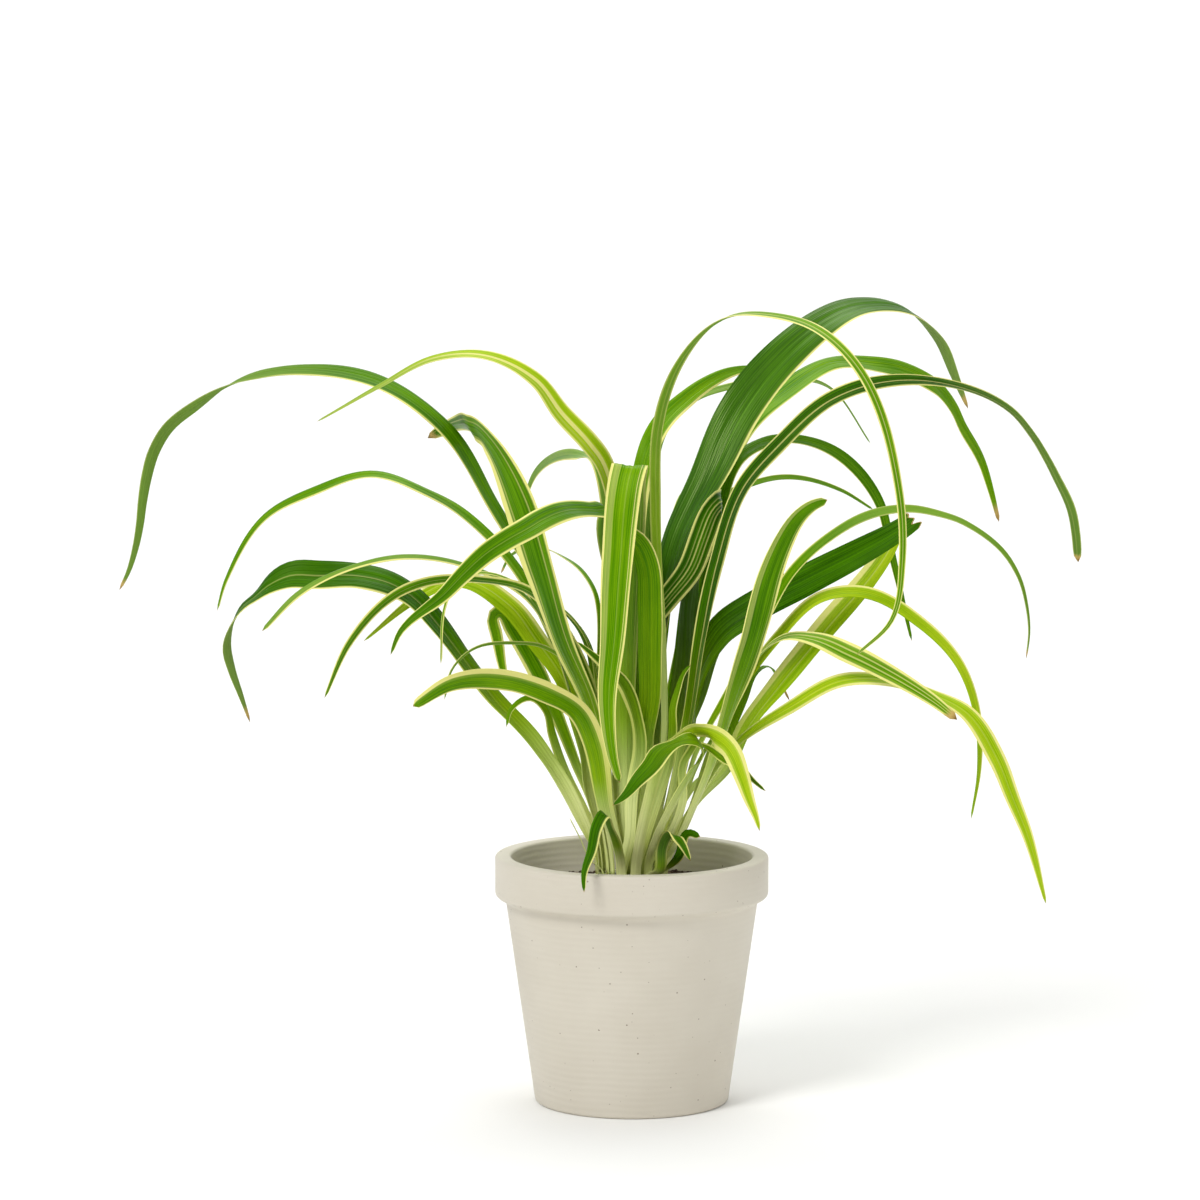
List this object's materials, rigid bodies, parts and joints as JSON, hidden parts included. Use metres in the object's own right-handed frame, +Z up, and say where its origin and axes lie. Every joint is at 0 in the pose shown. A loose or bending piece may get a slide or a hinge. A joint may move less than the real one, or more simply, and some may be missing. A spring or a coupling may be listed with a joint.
{
  "type": "potted spider plant",
  "caption": "Potted chlorophytum: a fountain of arching, cream-edged strap leaves from one crown, in a plain round tapered pot filled with soil.",
  "frame": {"origin": "centre of the pot's flat foot, on the surface that the pot stands on", "axes": "+Z up along the pot's axis, +X to the right as the front view shows the plant and along its widest spread, +Y away from the viewer"},
  "size_m": [0.3863, 0.296, 0.3216],
  "materials": {
    "pot": "matte",
    "soil": "matte",
    "crown": "satin",
    "leaf_mid": "satin",
    "leaf_dark": "satin",
    "leaf_lime": "satin",
    "leaf_grey": "satin"
  },
  "bodies": {
    "root": {"pot": "pot", "soil": "soil", "crown": "crown", "left_long": "leaf_dark", "left_second": "leaf_mid", "left_folded": "leaf_dark", "left_front_arch": "leaf_dark", "left_broad": "leaf_dark", "left_thin_over": "leaf_grey", "left_mid_striped": "leaf_dark", "front_left_arch": "leaf_mid", "left_tiny": "leaf_mid", "hanging_needle": "leaf_mid", "lime_mid": "leaf_lime", "folded_back": "leaf_mid", "small_hook": "leaf_mid", "thin_arc": "leaf_mid", "back_left": "leaf_grey", "left_top": "leaf_lime", "centre_low_left": "leaf_dark", "back_low_b": "leaf_dark", "low_left_small": "leaf_dark", "low_left_sliver": "leaf_mid", "front_centre": "leaf_mid", "centre_upright": "leaf_mid", "thin_loop": "leaf_mid", "big_dark": "leaf_dark", "upper_mid": "leaf_mid", "upper_mid_back": "leaf_grey", "striped_fold": "leaf_dark", "front_mid": "leaf_dark", "right_back_broad": "leaf_mid", "right_long_arch": "leaf_dark", "right_mid_arch": "leaf_dark", "right_thin_arch": "leaf_mid", "broken_leaf": "leaf_dark", "front_upright": "leaf_dark", "right_thin_long": "leaf_mid", "right_arch_lime": "leaf_lime", "lime_behind": "leaf_lime", "right_low_broad": "leaf_mid", "right_low_long": "leaf_lime", "dark_narrow": "leaf_mid", "back_stem": "leaf_grey", "front_low_left": "leaf_dark", "front_low_right": "leaf_lime", "front_low_far": "leaf_dark", "low_right_small": "leaf_dark", "low_right_tiny": "leaf_dark", "back_arch_a": "leaf_mid", "back_arch_b": "leaf_mid"}
  },
  "joints": []
}
